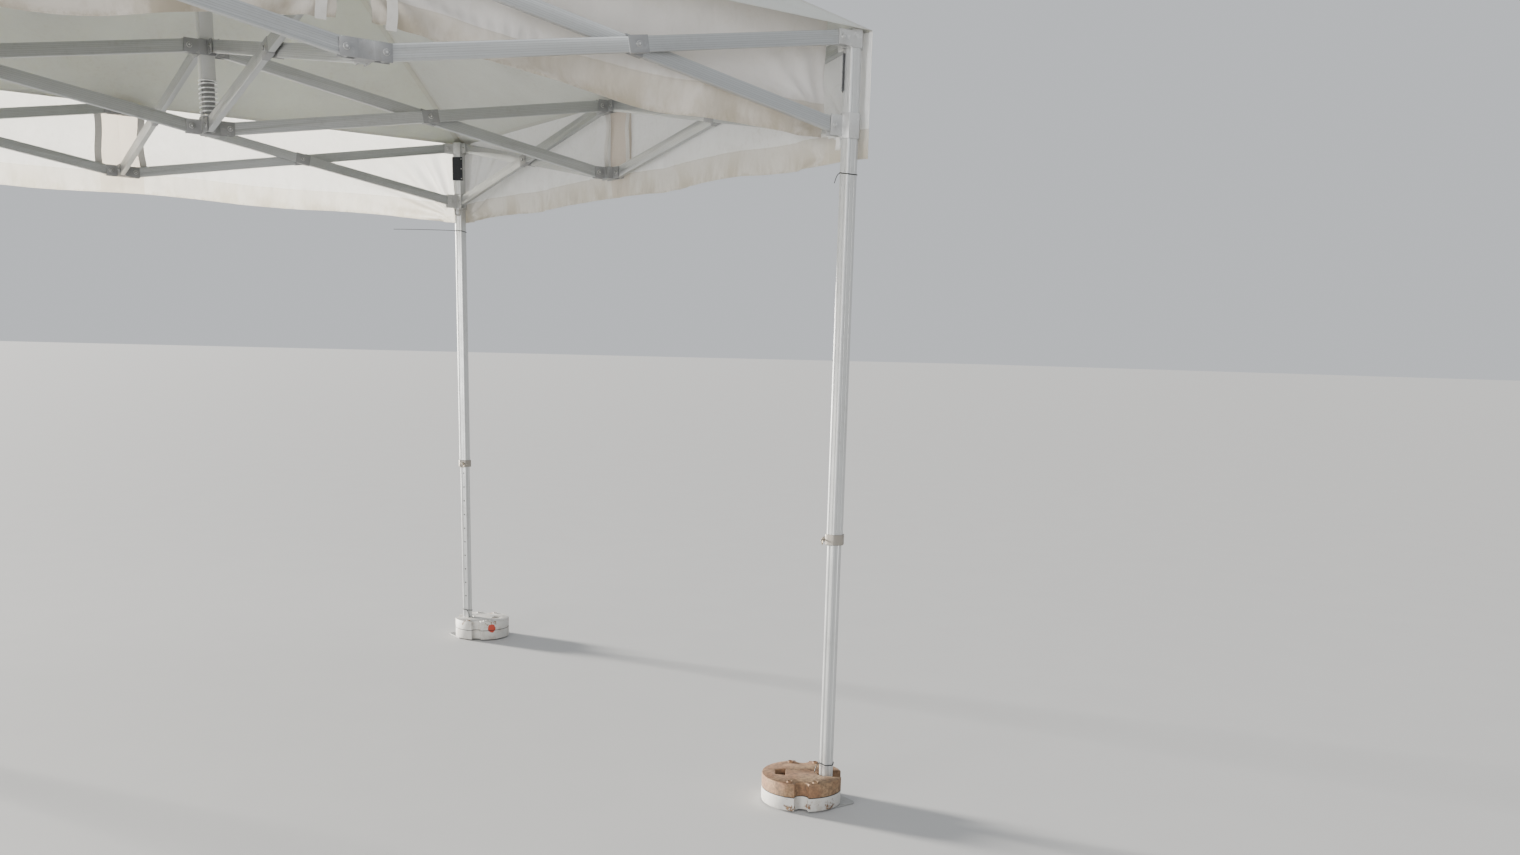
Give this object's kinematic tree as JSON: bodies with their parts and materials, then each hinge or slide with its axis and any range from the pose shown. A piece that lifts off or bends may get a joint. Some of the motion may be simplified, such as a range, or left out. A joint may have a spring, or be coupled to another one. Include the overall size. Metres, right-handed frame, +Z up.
{
  "type": "pop-up folding marquee",
  "caption": "Square pop-up folding marquee: telescopic hexagonal legs, scissor trusses, sprung centre hub, white pyramid canopy with valances, iron leg weights.",
  "frame": {"origin": "on the ground, under the centre pole", "axes": "+Z up, +Y from the near side to the far side, +X from the left side to the right side"},
  "size_m": [3.3904, 3.3624, 3.292],
  "materials": {
    "leg_aluminium": "satin anodised extrusion, fine grooves along it",
    "bar_aluminium": "satin extrusion with fine lengthwise grooves",
    "casting": "grey powder-coated die castings, scuffed",
    "spring_steel": "bright zinc",
    "canopy_fabric": "coated white polyester, wrinkled and grubby at the hems",
    "weight_iron": "white paint worn to rust"
  },
  "bodies": {
    "hub_upper": {"hub_upper": "casting", "canopy_roof": "canopy_fabric", "canopy_valance": "canopy_fabric", "near_valance": "canopy_fabric"},
    "hub_lower": {"hub_lower": "casting", "hub_spring": "spring_steel"},
    "centre_pole": {"centre_pole": "leg_aluminium"},
    "hub_bar_down_near": {"hub_bar_down_near": "bar_aluminium"},
    "mid_bracket_lower_near": {"mid_bracket_lower_near": "casting"},
    "hub_bar_up_near": {"hub_bar_up_near": "bar_aluminium"},
    "mid_bracket_upper_near": {"mid_bracket_upper_near": "casting"},
    "bar_up_near_a": {"bar_up_near_a": "bar_aluminium"},
    "bar_down_near_a": {"bar_down_near_a": "bar_aluminium"},
    "leg_outer_right_near": {"leg_outer_right_near": "leg_aluminium", "leg_bracket_right_near": "casting"},
    "slider_right_near": {"slider_right_near": "casting"},
    "leg_inner_right_near": {"leg_inner_right_near": "leg_aluminium", "weights_right_near": "weight_iron"},
    "bar_up_near_b": {"bar_up_near_b": "bar_aluminium"},
    "bar_down_near_b": {"bar_down_near_b": "bar_aluminium"},
    "hub_bar_down_right": {"hub_bar_down_right": "bar_aluminium"},
    "mid_bracket_lower_right": {"mid_bracket_lower_right": "casting"},
    "hub_bar_up_right": {"hub_bar_up_right": "bar_aluminium"},
    "mid_bracket_upper_right": {"mid_bracket_upper_right": "casting"},
    "bar_up_right_a": {"bar_up_right_a": "bar_aluminium"},
    "bar_down_right_a": {"bar_down_right_a": "bar_aluminium"},
    "leg_outer_right_far": {"leg_outer_right_far": "leg_aluminium", "leg_bracket_right_far": "casting"},
    "slider_right_far": {"slider_right_far": "casting"},
    "leg_inner_right_far": {"leg_inner_right_far": "leg_aluminium", "weights_right_far": "weight_iron"},
    "bar_up_right_b": {"bar_up_right_b": "bar_aluminium"},
    "bar_down_right_b": {"bar_down_right_b": "bar_aluminium"},
    "hub_bar_down_far": {"hub_bar_down_far": "bar_aluminium"},
    "mid_bracket_lower_far": {"mid_bracket_lower_far": "casting"},
    "hub_bar_up_far": {"hub_bar_up_far": "bar_aluminium"},
    "mid_bracket_upper_far": {"mid_bracket_upper_far": "casting"},
    "bar_up_far_a": {"bar_up_far_a": "bar_aluminium"},
    "bar_down_far_a": {"bar_down_far_a": "bar_aluminium"},
    "leg_outer_left_far": {"leg_outer_left_far": "leg_aluminium", "leg_bracket_left_far": "casting"},
    "slider_left_far": {"slider_left_far": "casting"},
    "leg_inner_left_far": {"leg_inner_left_far": "leg_aluminium", "weights_left_far": "weight_iron"},
    "bar_up_far_b": {"bar_up_far_b": "bar_aluminium"},
    "bar_down_far_b": {"bar_down_far_b": "bar_aluminium"},
    "hub_bar_down_left": {"hub_bar_down_left": "bar_aluminium"},
    "mid_bracket_lower_left": {"mid_bracket_lower_left": "casting"},
    "hub_bar_up_left": {"hub_bar_up_left": "bar_aluminium"},
    "mid_bracket_upper_left": {"mid_bracket_upper_left": "casting"},
    "bar_up_left_a": {"bar_up_left_a": "bar_aluminium"},
    "bar_down_left_a": {"bar_down_left_a": "bar_aluminium"},
    "leg_outer_left_near": {"leg_outer_left_near": "leg_aluminium", "leg_bracket_left_near": "casting"},
    "slider_left_near": {"slider_left_near": "casting"},
    "leg_inner_left_near": {"leg_inner_left_near": "leg_aluminium", "weights_left_near": "weight_iron"},
    "bar_up_left_b": {"bar_up_left_b": "bar_aluminium"},
    "bar_down_left_b": {"bar_down_left_b": "bar_aluminium"}
  },
  "joints": [
    {"name": "fold", "type": "hinge", "parent": "hub_upper", "child": "hub_bar_down_near", "pos_m": [0, -0.057, 2.4], "axis": [1, 0, 0], "range_deg": [0, 77], "deforming": ["canopy_roof", "canopy_valance", "near_valance"]},
    {"name": "mid_lower_pivot_near", "type": "hinge", "parent": "hub_bar_down_near", "child": "mid_bracket_lower_near", "pos_m": [0, -1.452, 2.155], "axis": [1, 0, 0], "range_deg": [-77, 0]},
    {"name": "hub_scissor_pivot_near", "type": "hinge", "parent": "hub_bar_down_near", "child": "hub_bar_up_near", "pos_m": [0, -0.7545, 2.2775], "axis": [1, 0, 0], "range_deg": [-154, 0]},
    {"name": "mid_upper_pivot_near", "type": "hinge", "parent": "hub_bar_up_near", "child": "mid_bracket_upper_near", "pos_m": [0, -1.452, 2.4], "axis": [1, 0, 0], "range_deg": [0, 77]},
    {"name": "hub_lower_pivot", "type": "hinge", "parent": "hub_bar_up_near", "child": "hub_lower", "pos_m": [0, -0.057, 2.155], "axis": [1, 0, 0], "range_deg": [0, 77]},
    {"name": "bar_pivot_near_a", "type": "hinge", "parent": "mid_bracket_lower_near", "child": "bar_up_near_a", "pos_m": [0.048, -1.5, 2.155], "axis": [0, 1, 0], "range_deg": [-77, 0]},
    {"name": "scissor_pivot_near_a", "type": "hinge", "parent": "bar_up_near_a", "child": "bar_down_near_a", "pos_m": [0.7455, -1.5, 2.2775], "axis": [0, 1, 0], "range_deg": [0, 154]},
    {"name": "leg_pivot_right_near", "type": "hinge", "parent": "bar_up_near_a", "child": "leg_outer_right_near", "pos_m": [1.443, -1.5, 2.4], "axis": [0, 1, 0], "range_deg": [0, 77]},
    {"name": "slider_pivot_right_near", "type": "hinge", "parent": "bar_down_near_a", "child": "slider_right_near", "pos_m": [1.443, -1.5, 2.155], "axis": [0, 1, 0], "range_deg": [-77, 0]},
    {"name": "leg_height_right_near", "type": "slide", "parent": "leg_outer_right_near", "child": "leg_inner_right_near", "axis": [0, 0, 1], "range_m": [0, 0.72]},
    {"name": "bar_pivot_near_b", "type": "hinge", "parent": "mid_bracket_lower_near", "child": "bar_up_near_b", "pos_m": [-0.048, -1.5, 2.155], "axis": [0, -1, 0], "range_deg": [-77, 0]},
    {"name": "scissor_pivot_near_b", "type": "hinge", "parent": "bar_up_near_b", "child": "bar_down_near_b", "pos_m": [-0.7455, -1.5, 2.2775], "axis": [0, -1, 0], "range_deg": [0, 154]},
    {"name": "hub_upper_pivot_right", "type": "hinge", "parent": "hub_upper", "child": "hub_bar_down_right", "pos_m": [0.057, 0, 2.4], "axis": [0, 1, 0], "range_deg": [0, 77]},
    {"name": "mid_lower_pivot_right", "type": "hinge", "parent": "hub_bar_down_right", "child": "mid_bracket_lower_right", "pos_m": [1.452, 0, 2.155], "axis": [0, 1, 0], "range_deg": [-77, 0]},
    {"name": "hub_scissor_pivot_right", "type": "hinge", "parent": "hub_bar_down_right", "child": "hub_bar_up_right", "pos_m": [0.7545, 0, 2.2775], "axis": [0, 1, 0], "range_deg": [-154, 0]},
    {"name": "mid_upper_pivot_right", "type": "hinge", "parent": "hub_bar_up_right", "child": "mid_bracket_upper_right", "pos_m": [1.452, 0, 2.4], "axis": [0, 1, 0], "range_deg": [0, 77]},
    {"name": "bar_pivot_right_a", "type": "hinge", "parent": "mid_bracket_lower_right", "child": "bar_up_right_a", "pos_m": [1.5, 0.048, 2.155], "axis": [-1, 0, 0], "range_deg": [-77, 0]},
    {"name": "scissor_pivot_right_a", "type": "hinge", "parent": "bar_up_right_a", "child": "bar_down_right_a", "pos_m": [1.5, 0.7455, 2.2775], "axis": [-1, 0, 0], "range_deg": [0, 154]},
    {"name": "leg_pivot_right_far", "type": "hinge", "parent": "bar_up_right_a", "child": "leg_outer_right_far", "pos_m": [1.5, 1.443, 2.4], "axis": [-1, 0, 0], "range_deg": [0, 77]},
    {"name": "slider_pivot_right_far", "type": "hinge", "parent": "bar_down_right_a", "child": "slider_right_far", "pos_m": [1.5, 1.443, 2.155], "axis": [-1, 0, 0], "range_deg": [-77, 0]},
    {"name": "leg_height_right_far", "type": "slide", "parent": "leg_outer_right_far", "child": "leg_inner_right_far", "axis": [0, 0, 1], "range_m": [0, 0.72]},
    {"name": "bar_pivot_right_b", "type": "hinge", "parent": "mid_bracket_lower_right", "child": "bar_up_right_b", "pos_m": [1.5, -0.048, 2.155], "axis": [1, 0, 0], "range_deg": [-77, 0]},
    {"name": "scissor_pivot_right_b", "type": "hinge", "parent": "bar_up_right_b", "child": "bar_down_right_b", "pos_m": [1.5, -0.7455, 2.2775], "axis": [1, 0, 0], "range_deg": [0, 154]},
    {"name": "hub_upper_pivot_far", "type": "hinge", "parent": "hub_upper", "child": "hub_bar_down_far", "pos_m": [0, 0.057, 2.4], "axis": [-1, 0, 0], "range_deg": [0, 77]},
    {"name": "mid_lower_pivot_far", "type": "hinge", "parent": "hub_bar_down_far", "child": "mid_bracket_lower_far", "pos_m": [0, 1.452, 2.155], "axis": [-1, 0, 0], "range_deg": [-77, 0]},
    {"name": "hub_scissor_pivot_far", "type": "hinge", "parent": "hub_bar_down_far", "child": "hub_bar_up_far", "pos_m": [0, 0.7545, 2.2775], "axis": [-1, 0, 0], "range_deg": [-154, 0]},
    {"name": "mid_upper_pivot_far", "type": "hinge", "parent": "hub_bar_up_far", "child": "mid_bracket_upper_far", "pos_m": [0, 1.452, 2.4], "axis": [-1, 0, 0], "range_deg": [0, 77]},
    {"name": "bar_pivot_far_a", "type": "hinge", "parent": "mid_bracket_lower_far", "child": "bar_up_far_a", "pos_m": [-0.048, 1.5, 2.155], "axis": [0, -1, 0], "range_deg": [-77, 0]},
    {"name": "scissor_pivot_far_a", "type": "hinge", "parent": "bar_up_far_a", "child": "bar_down_far_a", "pos_m": [-0.7455, 1.5, 2.2775], "axis": [0, -1, 0], "range_deg": [0, 154]},
    {"name": "leg_pivot_left_far", "type": "hinge", "parent": "bar_up_far_a", "child": "leg_outer_left_far", "pos_m": [-1.443, 1.5, 2.4], "axis": [0, -1, 0], "range_deg": [0, 77]},
    {"name": "slider_pivot_left_far", "type": "hinge", "parent": "bar_down_far_a", "child": "slider_left_far", "pos_m": [-1.443, 1.5, 2.155], "axis": [0, -1, 0], "range_deg": [-77, 0]},
    {"name": "leg_height_left_far", "type": "slide", "parent": "leg_outer_left_far", "child": "leg_inner_left_far", "axis": [0, 0, 1], "range_m": [0, 0.72]},
    {"name": "bar_pivot_far_b", "type": "hinge", "parent": "mid_bracket_lower_far", "child": "bar_up_far_b", "pos_m": [0.048, 1.5, 2.155], "axis": [0, 1, 0], "range_deg": [-77, 0]},
    {"name": "scissor_pivot_far_b", "type": "hinge", "parent": "bar_up_far_b", "child": "bar_down_far_b", "pos_m": [0.7455, 1.5, 2.2775], "axis": [0, 1, 0], "range_deg": [0, 154]},
    {"name": "hub_upper_pivot_left", "type": "hinge", "parent": "hub_upper", "child": "hub_bar_down_left", "pos_m": [-0.057, 0, 2.4], "axis": [0, -1, 0], "range_deg": [0, 77]},
    {"name": "mid_lower_pivot_left", "type": "hinge", "parent": "hub_bar_down_left", "child": "mid_bracket_lower_left", "pos_m": [-1.452, 0, 2.155], "axis": [0, -1, 0], "range_deg": [-77, 0]},
    {"name": "hub_scissor_pivot_left", "type": "hinge", "parent": "hub_bar_down_left", "child": "hub_bar_up_left", "pos_m": [-0.7545, 0, 2.2775], "axis": [0, -1, 0], "range_deg": [-154, 0]},
    {"name": "mid_upper_pivot_left", "type": "hinge", "parent": "hub_bar_up_left", "child": "mid_bracket_upper_left", "pos_m": [-1.452, 0, 2.4], "axis": [0, -1, 0], "range_deg": [0, 77]},
    {"name": "bar_pivot_left_a", "type": "hinge", "parent": "mid_bracket_lower_left", "child": "bar_up_left_a", "pos_m": [-1.5, -0.048, 2.155], "axis": [1, 0, 0], "range_deg": [-77, 0]},
    {"name": "scissor_pivot_left_a", "type": "hinge", "parent": "bar_up_left_a", "child": "bar_down_left_a", "pos_m": [-1.5, -0.7455, 2.2775], "axis": [1, 0, 0], "range_deg": [0, 154]},
    {"name": "leg_pivot_left_near", "type": "hinge", "parent": "bar_up_left_a", "child": "leg_outer_left_near", "pos_m": [-1.5, -1.443, 2.4], "axis": [1, 0, 0], "range_deg": [0, 77]},
    {"name": "slider_pivot_left_near", "type": "hinge", "parent": "bar_down_left_a", "child": "slider_left_near", "pos_m": [-1.5, -1.443, 2.155], "axis": [1, 0, 0], "range_deg": [-77, 0]},
    {"name": "leg_height_left_near", "type": "slide", "parent": "leg_outer_left_near", "child": "leg_inner_left_near", "axis": [0, 0, 1], "range_m": [0, 0.72]},
    {"name": "bar_pivot_left_b", "type": "hinge", "parent": "mid_bracket_lower_left", "child": "bar_up_left_b", "pos_m": [-1.5, 0.048, 2.155], "axis": [-1, 0, 0], "range_deg": [-77, 0]},
    {"name": "scissor_pivot_left_b", "type": "hinge", "parent": "bar_up_left_b", "child": "bar_down_left_b", "pos_m": [-1.5, 0.7455, 2.2775], "axis": [-1, 0, 0], "range_deg": [0, 154]},
    {"name": "pole_slide", "type": "slide", "parent": "hub_upper", "child": "centre_pole", "axis": [0, 0, -1], "range_m": [0, 0.83]}
  ],
  "couplings": [
    {"joint": "mid_lower_pivot_near", "follows": "fold", "ratio": -1},
    {"joint": "hub_scissor_pivot_near", "follows": "fold", "ratio": -2},
    {"joint": "mid_upper_pivot_near", "follows": "fold", "ratio": 1},
    {"joint": "hub_lower_pivot", "follows": "fold", "ratio": 1},
    {"joint": "bar_pivot_near_a", "follows": "fold", "ratio": -1},
    {"joint": "scissor_pivot_near_a", "follows": "fold", "ratio": 2},
    {"joint": "leg_pivot_right_near", "follows": "fold", "ratio": 1},
    {"joint": "slider_pivot_right_near", "follows": "fold", "ratio": -1},
    {"joint": "bar_pivot_near_b", "follows": "fold", "ratio": -1},
    {"joint": "scissor_pivot_near_b", "follows": "fold", "ratio": 2},
    {"joint": "hub_upper_pivot_right", "follows": "fold", "ratio": 1},
    {"joint": "mid_lower_pivot_right", "follows": "fold", "ratio": -1},
    {"joint": "hub_scissor_pivot_right", "follows": "fold", "ratio": -2},
    {"joint": "mid_upper_pivot_right", "follows": "fold", "ratio": 1},
    {"joint": "bar_pivot_right_a", "follows": "fold", "ratio": -1},
    {"joint": "scissor_pivot_right_a", "follows": "fold", "ratio": 2},
    {"joint": "leg_pivot_right_far", "follows": "fold", "ratio": 1},
    {"joint": "slider_pivot_right_far", "follows": "fold", "ratio": -1},
    {"joint": "bar_pivot_right_b", "follows": "fold", "ratio": -1},
    {"joint": "scissor_pivot_right_b", "follows": "fold", "ratio": 2},
    {"joint": "hub_upper_pivot_far", "follows": "fold", "ratio": 1},
    {"joint": "mid_lower_pivot_far", "follows": "fold", "ratio": -1},
    {"joint": "hub_scissor_pivot_far", "follows": "fold", "ratio": -2},
    {"joint": "mid_upper_pivot_far", "follows": "fold", "ratio": 1},
    {"joint": "bar_pivot_far_a", "follows": "fold", "ratio": -1},
    {"joint": "scissor_pivot_far_a", "follows": "fold", "ratio": 2},
    {"joint": "leg_pivot_left_far", "follows": "fold", "ratio": 1},
    {"joint": "slider_pivot_left_far", "follows": "fold", "ratio": -1},
    {"joint": "bar_pivot_far_b", "follows": "fold", "ratio": -1},
    {"joint": "scissor_pivot_far_b", "follows": "fold", "ratio": 2},
    {"joint": "hub_upper_pivot_left", "follows": "fold", "ratio": 1},
    {"joint": "mid_lower_pivot_left", "follows": "fold", "ratio": -1},
    {"joint": "hub_scissor_pivot_left", "follows": "fold", "ratio": -2},
    {"joint": "mid_upper_pivot_left", "follows": "fold", "ratio": 1},
    {"joint": "bar_pivot_left_a", "follows": "fold", "ratio": -1},
    {"joint": "scissor_pivot_left_a", "follows": "fold", "ratio": 2},
    {"joint": "leg_pivot_left_near", "follows": "fold", "ratio": 1},
    {"joint": "slider_pivot_left_near", "follows": "fold", "ratio": -1},
    {"joint": "bar_pivot_left_b", "follows": "fold", "ratio": -1},
    {"joint": "scissor_pivot_left_b", "follows": "fold", "ratio": 2},
    {"joint": "pole_slide", "follows": "fold", "m_per_rad": 0.6176}
  ]
}
